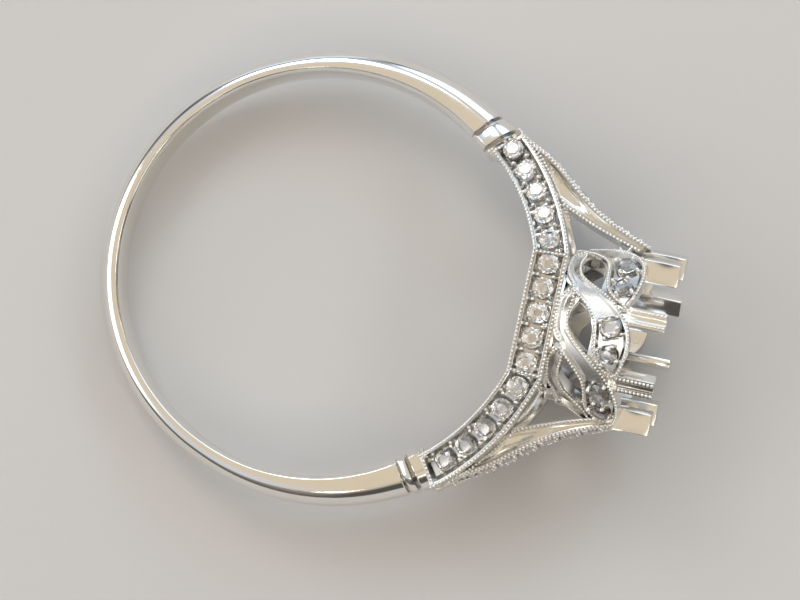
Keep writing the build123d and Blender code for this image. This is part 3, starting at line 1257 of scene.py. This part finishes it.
@dataclass
class Collet:
    """The flaring pierced wall round the head, with raised leaves and beaded ribbons."""

    base_x: float = 10.05
    base_radius: float = 2.9
    height: float = 3.28
    flare: float = 0.27
    wall: float = 0.5
    ring_drop: float = 0.4
    count: int = 8
    first_turn: float = -9.0
    inner_lift: float = -0.4
    end_lift: float = -0.06
    rim_lifts: tuple[float, float] = (0.1, 0.17)
    field_lifts: tuple[float, float] = (0.02, 0.012)
    leaf_start: tuple[float, float] = (0.3, 0.25)
    tip_fade: tuple[float, float] = (0.9, 0.1)
    tip_rise: tuple[float, float] = (0.86, 0.14)
    rim_width: float = 0.15
    waist: tuple[float, float] = (0.52, 0.2)
    waist_width: float = 0.14
    dish_width: float = 0.12
    inner_painted_shade: float = 0.8
    seat_painted_shade: float = 0.5
    field_painted_shade: float = 0.15
    covered: tuple[int, int] = (2, 6)
    covered_height: float = 0.55
    covered_share: float = 0.4
    hole_middle: tuple[float, float] = (0.25, 0.37)
    bead_radius: float = 0.066
    bead_pitch: float = 0.148
    bead_inset: float = 0.06
    scroll_steps: int = 84
    hole_steps: int = 15
    foot_steps: int = 96
    grip_turns: tuple[float, ...] = (20.0, 110.0, 200.0, 290.0)
    grip_reach: float = 1.02
    stone_grip: Grip = Grip(0.11, 1.8, 0.03)
    hole_lower: tuple[tuple[float, float], ...] = ((-0.19, 0.28), (0.24, 0.2), (0.69, 0.5))
    hole_upper: tuple[tuple[float, float], ...] = ((0.69, 0.5), (0.24, 0.5), (-0.19, 0.28))
    cell_corners: tuple[tuple[float, float], ...] = (
        (-0.374, 0.115), (-0.14, 0.0), (0.38, 0.0), (0.626, 0.115), (0.903, 0.73), (-0.097, 0.73),
    )
    scroll_near: tuple[tuple[float, float], ...] = (
        (-1.27, 0.2), (-1.16, 0.215), (-0.97, 0.195), (-0.76, 0.2), (-0.58, 0.255), (-0.44, 0.37),
        (-0.32, 0.51), (-0.2, 0.645), (-0.08, 0.77), (0.06, 0.88), (0.2, 0.955), (0.4, 1.0), (0.63, 0.98),
        (0.82, 0.92), (0.9, 0.86),
    )
    scroll_far: tuple[tuple[float, float], ...] = (
        (-1.32, 0.14), (-1.2, 0.05), (-1.03, 0.02), (-0.78, 0.02), (-0.58, 0.055), (-0.42, 0.13),
        (-0.29, 0.165), (-0.2, 0.24), (-0.05, 0.365), (0.1, 0.47), (0.3, 0.52), (0.5, 0.54), (0.66, 0.58),
        (0.8, 0.69), (0.89, 0.84),
    )

    def radius(self, x: float) -> float:
        """The wall's outer radius at a place along the head's axis."""
        return self.base_radius + self.flare * (x - self.base_x)

    def point(self, turn_share: float, height_share: float, lift: float, unit: int = 0) -> Vector:
        """A point on or above the wall.

        Args:
            turn_share: its turn from the unit's prong, as a share of a unit's angle.
            height_share: its height, as a share of the wall's height.
            lift: its distance from the wall's outer surface.
            unit: the number of the unit.

        Returns:
            The point in the flat ring's frame.
        """
        x = self.base_x + self.height * height_share
        radius = self.radius(x) + lift
        turn = math.radians(self.first_turn + 360.0 / self.count * (unit + turn_share))
        return Vector((x, -radius * math.sin(turn), radius * math.cos(turn)))

    def outward(self, spot: Vector) -> Vector:
        """The direction straight out of the wall at a point."""
        return Vector((-self.flare * 0.9, *Vector((spot.y, spot.z)).normalized())).normalized()

    def lifts(self, share: float) -> tuple[float, float]:
        """Finds how high a scroll stands, which changes from its ribbon to its leaf.

        Args:
            share: how far along the scroll.

        Returns:
            The lift of its rims and of the dished field between them.
        """
        grown = ramp(share, *self.leaf_start)
        grown = grown * grown * (3 - 2 * grown)
        fade = 1.0 - ramp(share, *self.tip_fade) ** 2
        return mix(self.rim_lifts, grown) * fade, mix(self.field_lifts, grown) * fade

    def rims(self, unit: int) -> tuple[Path, Path]:
        """Draws a scroll's two rims, kept low where an arm's end covers its leaf.

        Args:
            unit: the number of the leaf's unit.

        Returns:
            The near and the far rim.
        """
        rims = []
        for points in (self.scroll_near, self.scroll_far):
            if unit in self.covered:
                low = self.covered_height
                points = [(turn, min(h, low + (h - low) * self.covered_share)) for turn, h in points]
            rims.append(Path(points))
        return rims[0], rims[1]

    def scroll(self, bm: bmesh.types.BMesh, unit: int, seats: Sequence[Seat]) -> None:
        """Sweeps a band that runs as a ribbon round one hole and widens into the next unit's leaf.

        Args:
            bm: the mesh that receives the band.
            unit: the number of the leaf's unit.
            seats: where the collet's stones sit, because the field gets painted shade under them.
        """
        near, far = self.rims(unit)
        stations = []
        recess = []
        for s in shares(self.scroll_steps):
            a, b = near.at(s), far.at(s)
            width = (self.point(*a, 0.0) - self.point(*b, 0.0)).length
            bulge = max(0.0, 1.0 - abs(s - self.waist[0]) / self.waist[1])
            rims = (self.rim_width + self.waist_width * bulge, self.rim_width)
            near_rim, far_rim = (min(rim, width * 0.27) / max(width, 0.01) for rim in rims)
            gentle = self.dish_width / max(width, 0.01)
            near_dish, far_dish = (min(rim + gentle, 0.44) for rim in (near_rim, far_rim))
            lift, field = self.lifts(s)
            base = mix((self.inner_lift, self.end_lift), ramp(s, *self.tip_rise))
            profile = [(0.0, base), (0.0, lift - 0.03), (0.02, lift), (near_rim, lift), (near_dish, field),
                       (0.5, field), (1 - far_dish, field), (1 - far_rim, lift), (0.98, lift),
                       (1.0, lift - 0.03), (1.0, base)]
            stations.append([self.point(*(a.lerp(b, u)), h, unit) for u, h in profile])
            # Painted shade: the dished field is darkened, most under the stones as a shadow gap, and the
            # rims' outer edges where the beads stand are darkened too.
            middle = self.point(*a.lerp(b, 0.5), field, unit)
            shaded = any((seat.centre - middle).length < seat.radius for seat in seats)
            deep = self.seat_painted_shade if shaded else self.field_painted_shade
            recess.append([0.1, 0.3, 0.5, 0.1, deep, deep, deep, 0.1, 0.5, 0.3, 0.1])
        sweep(bm, stations, recess=recess)

    def cell(self, bm: bmesh.types.BMesh, unit: int) -> None:
        """Sweeps one unit of the wall round its almond hole.

        Args:
            bm: the mesh that receives the unit.
            unit: the number of the unit.
        """
        halves = (Path(self.hole_lower), Path(self.hole_upper))
        rim = [half.at(s) for half in halves for s in shares(self.hole_steps)[:-1]]
        middle = Vector(self.hole_middle)
        stations = []
        for spot in rim:
            edge = self._reach(middle, (spot - middle).normalized())
            section = [(s, 0.0) for s in (0.0, 0.03, 0.3, 0.6, 0.97, 1.0)]
            section += [(s, 1.0) for s in (1.0, 0.5, 0.0)]
            station = []
            for out, deep in section:
                place = spot.lerp(edge, out)
                station.append(self.point(place.x, place.y, -self.wall * deep, unit))
            stations.append(station)
        stations.append(stations[0])
        # Painted shade: the wall's inner face is darkened, as the inside of the head lies in shade.
        sweep(bm, stations, closed=True, recess=[[0.0] * 6 + [self.inner_painted_shade] * 3] * len(stations))

    def _reach(self, middle: Vector, away: Vector) -> Vector:
        """Finds where a line from the hole's middle leaves the unit's cell.

        Args:
            middle: the hole's middle.
            away: the line's direction.

        Returns:
            The point on the cell's edge.
        """
        corners = [Vector(corner) for corner in self.cell_corners]
        nearest = math.inf
        for a, b in zip(corners, corners[1:] + corners[:1]):
            side = b - a
            across = away.x * side.y - away.y * side.x
            if abs(across) < 1e-9:
                continue
            start = a - middle
            reach = (start.x * side.y - start.y * side.x) / across
            along = (start.x * away.y - start.y * away.x) / across
            if reach > 0.0 and -0.001 <= along <= 1.001:
                nearest = min(nearest, reach)
        return middle + away * nearest

    def foot(self, bm: bmesh.types.BMesh) -> None:
        """Spins the ring under the wall.

        Args:
            bm: the mesh that receives the ring.
        """
        drop = -self.ring_drop / self.height
        profile = [(drop, -self.wall), (drop, -0.05), (drop + 0.02, 0.0), (0.035, 0.0), (0.05, -0.03),
                   (0.05, -self.wall)]
        stations = []
        for i in range(self.foot_steps + 1):
            stations.append([self.point(i * self.count / self.foot_steps, h, lift) for h, lift in profile])
        sweep(bm, stations, closed=True)

    def build(self, bench: Workbench, material: bpy.types.Material, satin: bpy.types.Material,
              field: StoneField) -> list[bpy.types.Object]:
        """Makes the wall and the scrolls round it.

        Args:
            bench: the workbench.
            material: the wall's finish.
            satin: the scrolls' finish.
            field: the collet's stones.

        Returns:
            The wall and the scrolls.
        """
        wall, scrolls = bmesh.new(), bmesh.new()
        self.foot(wall)
        for unit in range(self.count):
            self.cell(wall, unit)
            self.scroll(scrolls, unit, field.seats)
        return [
            bench.finish(wall, "collet_wall", material, "white_gold", merge=False),
            bench.finish(scrolls, "scrolls", satin, "white_gold"),
        ]

    def bead(self, beading: Beading) -> None:
        """Beads both rims of every scroll.

        Args:
            beading: what receives the beads.
        """
        for unit in range(self.count):
            near, far = self.rims(unit)
            for edge, other in ((near, far), (far, near)):
                dense = []
                for s in shares(120):
                    a, b = edge.at(s), other.at(s)
                    width = (self.point(*a, 0.0) - self.point(*b, 0.0)).length
                    place = a.lerp(b, min(0.5, self.bead_inset / max(width, 0.05)))
                    dense.append(self.point(*place, self.lifts(s)[0], unit))
                beading.row(dense, self.outward, self.bead_radius, self.bead_pitch)

    def grip(self, beading: Beading, field: StoneField) -> None:
        """Raises bead grips round the stones of the leaves.

        Args:
            beading: what receives the grips.
            field: the leaves' stones.
        """
        along = Vector((1.0, 0.0, 0.0))
        for seat in field.seats:
            across = along.cross(seat.outward).normalized()
            for turn in self.grip_turns:
                angle = math.radians(turn)
                way = along * math.cos(angle) + across * math.sin(angle)
                spot = seat.centre + way * seat.radius * self.grip_reach
                beading.hold(spot, seat.outward, self.stone_grip)


@dataclass
class Prongs:
    """Eight upright prongs, four small and four at the corners."""

    collet: Collet
    head_turn: float = 13.5
    foot_x: float = 12.0
    free_x: float = 13.1
    tip_x: float = 14.55
    small_inner: float = 3.0
    small_depth: float = 0.62
    small_width: float = 0.76
    channel: float = 0.26
    channel_depth: float = 0.1
    narrow_prong: int = 4
    narrow_share: float = 0.45
    sunk: float = 0.02
    corner_radius: float = 3.3
    corner_depth: float = 0.95
    corner_width: float = 0.92
    bead_reach: float = 0.25
    bead_start: float = 12.7
    bead_gap: float = 0.08
    bead_radius: float = 0.078
    bead_pitch: float = 0.165

    def turns(self) -> list[float]:
        """Each prong's angle round the head's axis, in degrees."""
        return [self.collet.first_turn + 360.0 / self.collet.count * i for i in range(self.collet.count)]

    def kind(self, turn: float) -> ProngKind:
        """The four prongs nearest to the arms are the corner ones."""
        away = abs(math.sin(math.radians(turn - self.head_turn)))
        return ProngKind.CORNER if away > math.sin(math.radians(45.0)) else ProngKind.SMALL

    def section(self, kind: ProngKind) -> list[tuple[float, float, float]]:
        """Draws a prong's section.

        Args:
            kind: the kind of prong.

        Returns:
            Its corners, each as across, outwards and rounding.
        """
        if kind is ProngKind.CORNER:
            half, deep = self.corner_width / 2, self.corner_depth / 2
            middle = self.corner_radius
            return [(-half, middle - deep, 0.05), (-half, middle + deep, 0.05), (half, middle + deep, 0.05),
                    (half, middle - deep, 0.05)]
        half, rim = self.small_width / 2, self.channel / 2
        outer = self.small_inner + self.small_depth
        floor = outer - self.channel_depth
        return [(-half, self.small_inner, 0.05), (-half, outer, 0.04), (-rim, outer, 0.02),
                (-rim + 0.04, floor, 0.02), (rim - 0.04, floor, 0.02), (rim, outer, 0.02),
                (half, outer, 0.04), (half, self.small_inner, 0.05)]

    def build(self, bench: Workbench, material: bpy.types.Material) -> list[bpy.types.Object]:
        """Sweeps each prong from its foot to its tip.

        Args:
            bench: the workbench.
            material: the prongs' finish.

        Returns:
            One piece for each kind of prong.
        """
        pieces = []
        for kind in ProngKind:
            bm = bmesh.new()
            corners = self.section(kind)
            for i, turn in enumerate(self.turns()):
                if self.kind(turn) is not kind:
                    continue
                narrow = self.narrow_share if i == self.narrow_prong else 1.0
                points = [Vector((p.x * narrow, p.y)) for p in eased(corners, 3)]
                middle = sum(points, Vector((0.0, 0.0))) / len(points)
                stations = []
                for x, inset in ((self.foot_x, 0.0), (self.free_x - 0.01, 0.0), (self.free_x, 0.0),
                                 (self.tip_x - 0.05, 0.0), (self.tip_x - 0.015, 0.02), (self.tip_x, 0.06)):
                    stations.append([self._place(p, middle, inset, x, turn, kind) for p in points])
                sweep(bm, stations)
            pieces.append(bench.finish(bm, kind.value + "_prongs", material, "white_gold"))
        return pieces

    def _place(self, point: Vector, middle: Vector, inset: float, x: float, turn: float,
               kind: ProngKind) -> Vector:
        """Puts a section point at its height on its prong.

        Args:
            point: the point, as across and outwards.
            middle: the section's middle.
            inset: how far the point moves towards the middle.
            x: its place along the head's axis.
            turn: the prong's angle, in degrees.
            kind: the kind of prong.

        Returns:
            The point on the flat ring, kept inside the collet's wall below its top.
        """
        across, out = point
        if inset > 0.0:
            toward = (middle - point).normalized() * inset
            across, out = across + toward.x, out + toward.y
        if kind is ProngKind.CORNER:
            spin = math.radians(self.head_turn - turn)
            shift = out - self.corner_radius
            across, out = (
                across * math.cos(spin) + shift * math.sin(spin),
                self.corner_radius - across * math.sin(spin) + shift * math.cos(spin),
            )
        if x < self.free_x:
            limit = self.collet.radius(x) - self.sunk
            reach = math.hypot(across, out)
            across, out = across * min(1.0, limit / reach), out * min(1.0, limit / reach)
        angle = math.radians(turn)
        return Vector((
            x,
            -out * math.sin(angle) - across * math.cos(angle),
            out * math.cos(angle) - across * math.sin(angle),
        ))

    def bead(self, beading: Beading) -> None:
        """Beads both ridges of the small prongs.

        Args:
            beading: what receives the beads.
        """
        for i, turn in enumerate(self.turns()):
            if self.kind(turn) is not ProngKind.SMALL or i == self.narrow_prong:
                continue
            outer = self.small_inner + self.small_depth
            outward = Vector((0.0, -math.sin(math.radians(turn)), math.cos(math.radians(turn))))
            for across in (-self.bead_reach, self.bead_reach):
                spot = Vector((across, outer))
                ends = [self._place(spot, spot, 0.0, x, turn, ProngKind.SMALL)
                        for x in (self.bead_start, self.tip_x - self.bead_gap)]
                beading.row(ends, lambda _: outward, self.bead_radius, self.bead_pitch)


# Studio


@dataclass(frozen=True)
class Panel:
    """A soft bright or dark patch of the room, seen from the ring."""

    aim: tuple[float, float, float]
    reach: float
    edge: float
    colour: tuple[float, float, float]


@dataclass
class Studio:
    """Pale floor, soft lights and the camera over the ring."""

    air_strength: float = 0.55
    ceiling: tuple[tuple[float, tuple[float, float, float, float]], ...] = (
        (0.0, (0.15, 0.14, 0.135, 1.0)),
        (0.25, (0.28, 0.265, 0.25, 1.0)),
        (0.6, (0.55, 0.51, 0.45, 1.0)),
        (0.88, (1.3, 1.12, 0.87, 1.0)),
    )
    panels: tuple[Panel, ...] = (
        Panel((-0.55, -0.38, 0.66), 14.0, 14.0, (1.2, 1.22, 1.28)),
        Panel((-0.42, 0.52, 0.6), 15.0, 14.0, (1.1, 1.2, 1.36)),
        Panel((-0.88, -0.12, 0.45), 20.0, 6.0, (3.6, 3.55, 3.4)),
        Panel((0.25, 0.86, 0.42), 22.0, 6.0, (2.6, 3.2, 3.8)),
        Panel((-0.62, 0.66, 0.4), 13.0, 9.0, (0.28, 0.28, 0.29)),
        Panel((0.27, -0.88, 0.36), 12.0, 9.0, (0.16, 0.145, 0.135)),
        Panel((-0.5, 0.85, 0.06), 12.0, 12.0, (1.35, 1.55, 1.8)),
        Panel((0.72, 0.1, 0.68), 7.0, 2.0, (6.0, 5.9, 5.6)),
        Panel((0.35, -0.55, 0.76), 6.0, 2.0, (5.0, 4.6, 4.0)),
        Panel((-0.3, 0.45, 0.84), 6.0, 2.0, (5.5, 5.7, 6.0)),
        Panel((0.9, -0.3, 0.3), 12.0, 4.0, (2.4, 2.3, 2.2)),
        Panel((0.063, -0.08, 0.995), 5.0, 4.0, (0.14, 0.14, 0.15)),
        Panel((0.42, 0.28, 0.86), 7.0, 4.0, (0.16, 0.16, 0.18)),
        Panel((0.55, 0.5, 0.67), 2.6, 1.0, (15.0, 15.5, 16.5)),
        Panel((0.2, 0.16, 0.966), 2.2, 1.0, (13.0, 13.0, 13.0)),
        Panel((-0.12, -0.66, 0.74), 2.6, 1.0, (15.0, 14.0, 12.5)),
        Panel((0.62, -0.36, 0.7), 2.6, 1.0, (15.0, 14.8, 14.2)),
        Panel((-0.66, 0.12, 0.74), 2.4, 1.0, (14.0, 14.5, 16.0)),
    )

    camera_place: tuple[float, float, float] = (22.925, -9.628, 117.445)
    camera_turn: tuple[float, float, float] = (3.02055, 0.32245, -0.23617)
    focal_pixels: float = 2912.81
    picture_width: float = 800.0
    sensor_width: float = 36.0
    floor_size: float = 1.5
    key_place: tuple[float, float, float] = (-0.16, 0.2, 0.24)
    key_size: tuple[float, float] = (0.12, 0.1)
    key_power: float = 0.2
    key_colour: tuple[float, float, float] = (1.0, 0.985, 0.96)

    def build_camera(self, bench: Workbench) -> bpy.types.Object:
        """Places the camera as the ring was seen.

        Args:
            bench: the workbench, for the resting pose.

        Returns:
            The camera.
        """
        data = bpy.data.cameras.new("camera")
        data.sensor_width = self.sensor_width
        data.lens = self.focal_pixels / self.picture_width * data.sensor_width
        data.clip_start = 0.005
        data.clip_end = 10.0
        camera = bpy.data.objects.new("camera", data)
        bpy.context.scene.collection.objects.link(camera)
        turn = Vector(self.camera_turn)
        seen = Matrix.Rotation(turn.length, 3, turn)
        axes = Matrix((seen[0], -seen[1], -seen[2])).transposed()
        lean = bench.place.to_3x3().normalized()
        stand = Matrix.Translation(bench.place @ Vector(self.camera_place))
        camera.matrix_world = stand @ (lean @ axes).to_4x4()
        bpy.context.scene.camera = camera
        return camera

    def build_floor(self, material: bpy.types.Material) -> bpy.types.Object:
        """Lays the floor under the ring's lowest bead.

        Args:
            material: the floor's finish.

        Returns:
            The floor.
        """
        bm = bmesh.new()
        height = Matrix.Translation((0.0, 0.0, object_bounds()[0][2]))
        bmesh.ops.create_grid(bm, x_segments=1, y_segments=1, size=self.floor_size, matrix=height)
        mesh = bpy.data.meshes.new("floor")
        bm.to_mesh(mesh)
        bm.free()
        mesh.materials.append(material)
        floor = bpy.data.objects.new("floor", mesh)
        bpy.context.scene.collection.objects.link(floor)
        floor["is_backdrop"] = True
        return floor

    def build_key(self) -> bpy.types.Object:
        """Hangs the soft key light, which faces the ring.

        Returns:
            The light.
        """
        data = bpy.data.lights.new("key", "AREA")
        data.shape = "RECTANGLE"
        data.size, data.size_y = self.key_size
        data.energy = self.key_power
        data.color = self.key_colour
        lamp = bpy.data.objects.new("key", data)
        bpy.context.scene.collection.objects.link(lamp)
        lamp.location = self.key_place
        lamp.rotation_euler = (-Vector(self.key_place)).to_track_quat("-Z", "Y").to_euler()
        return lamp

    def build_air(self) -> None:
        """Fills the room with a warm ceiling, soft windows, dark patches and small lamps."""
        board = Board("room", bpy.data.worlds.new("room"), "ShaderNodeOutputWorld")
        way = board.add("ShaderNodeTexCoord", {}, {}, "Generated")
        height = board.add("ShaderNodeSeparateXYZ", {}, {"Vector": way}, "Z")
        air = board.add("ShaderNodeValToRGB", {"stops": self.ceiling}, {"Fac": height}, "Color")
        for panel in self.panels:
            aim = Vector(panel.aim).normalized()
            dot = {"operation": "DOT_PRODUCT"}
            facing = board.add("ShaderNodeVectorMath", dot, {0: way, 1: aim}, "Value")
            outer = math.cos(math.radians(panel.reach + panel.edge))
            inner = math.cos(math.radians(panel.reach))
            bounds = {"Value": facing, "From Min": outer, "From Max": inner}
            share = board.add("ShaderNodeMapRange", {"interpolation_type": "SMOOTHSTEP"}, bounds)
            air = board.blend(share, air, (*panel.colour, 1.0))
        light = board.add("ShaderNodeBackground", {}, {"Color": air, "Strength": self.air_strength})
        board.tree.links.new(light.socket, board.output.inputs["Surface"])
        bpy.context.scene.world = board.owner

    def build(self, bench: Workbench, floor: bpy.types.Material) -> None:
        """Sets up camera, floor, lights and the picture's tones.

        Args:
            bench: the workbench.
            floor: the floor's finish.
        """
        self.build_camera(bench)
        self.build_floor(floor)
        self.build_air()
        self.build_key()
        scene = bpy.context.scene
        scene.view_settings.view_transform = "Standard"
        scene.view_settings.look = "None"


def main() -> None:
    """Builds the ring's pieces in order, then the studio round them."""
    bench = Workbench(frame["record"])
    polished = WhiteGold("polished_white_gold").material()
    beaded = WhiteGold("beaded_white_gold", roughness=0.12, wear=0.06, scratch=0.1).material()
    satin = WhiteGold(
        "satin_white_gold", roughness=0.3, wear=0.12, scratch=0.5, recess_roughness=-0.5,
    ).material()
    stone = CutStone().material()

    rises = {"collet_stones": 0.07}
    nodes = [node for node in sorted(frame["nodes"]) if node.endswith("_stones")]
    fields = {node: StoneField(bench, node, rises.get(node, 0.0)) for node in nodes}

    hoop = Hoop().build(bench, polished)
    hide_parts("mounting")

    strips = SideStrips()
    strips.build(bench, polished)
    arms = SplitArms()
    arms.build(bench, polished)
    ShoulderCore().build(bench, polished)
    collet = Collet()
    collet.build(bench, polished, satin, fields["collet_stones"])
    prongs = Prongs(collet)
    prongs.build(bench, polished)

    for field in fields.values():
        field.build(stone)

    for name, parts in (("shank_beading", (strips, arms)), ("collet_beading", (collet, prongs))):
        edging = Beading()
        for part in parts:
            part.bead(edging)
        bench.finish(edging.gathered(), name, beaded, "white_gold", crease=80.0, merge=False)
    grips = Beading()
    strips.grip(grips, fields["front_row_stones"])
    strips.grip(grips, fields["back_row_stones"])
    arms.grip(grips, fields["upper_arm_stones"])
    arms.grip(grips, fields["lower_arm_stones"])
    collet.grip(grips, fields["collet_stones"])
    bench.finish(grips.gathered(), "stone_grips", beaded, "white_gold", crease=80.0, merge=False)

    Studio().build(bench, PaleFloor().material())


if __name__ == "__main__":
    logging.basicConfig(level=logging.INFO, format="%(message)s")
    main()
